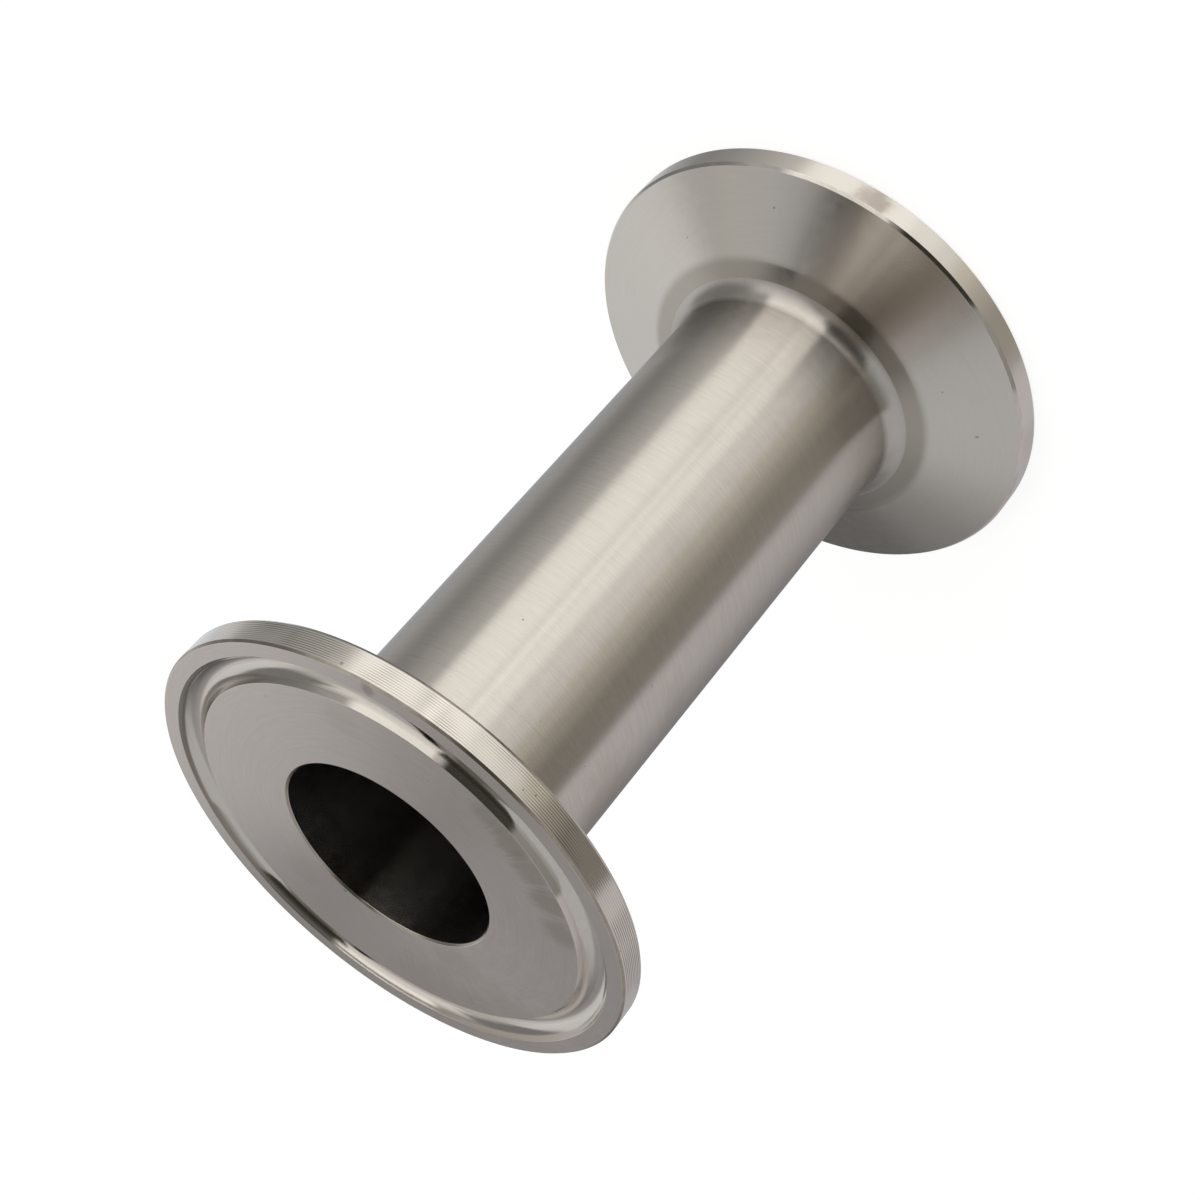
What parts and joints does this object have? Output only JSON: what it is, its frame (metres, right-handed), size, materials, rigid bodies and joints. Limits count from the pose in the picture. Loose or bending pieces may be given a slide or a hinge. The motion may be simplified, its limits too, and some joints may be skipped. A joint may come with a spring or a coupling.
{
  "type": "sanitary spool pipe",
  "caption": "Straight polished stainless spool pipe with a turned clamp ferrule and gasket groove at each end.",
  "frame": {"origin": "centre of the lower ferrule's face", "axes": "+Z along the pipe's axis, from the lower face to the upper face; X and Y are free"},
  "size_m": [0.0506, 0.0506, 0.0762],
  "materials": {
    "turned_steel": "fine turned stainless steel",
    "brushed_steel": "stainless steel brushed round the tube"
  },
  "bodies": {
    "root": {"lower_ferrule": "turned_steel", "tube": "brushed_steel", "upper_ferrule": "turned_steel"}
  },
  "joints": []
}
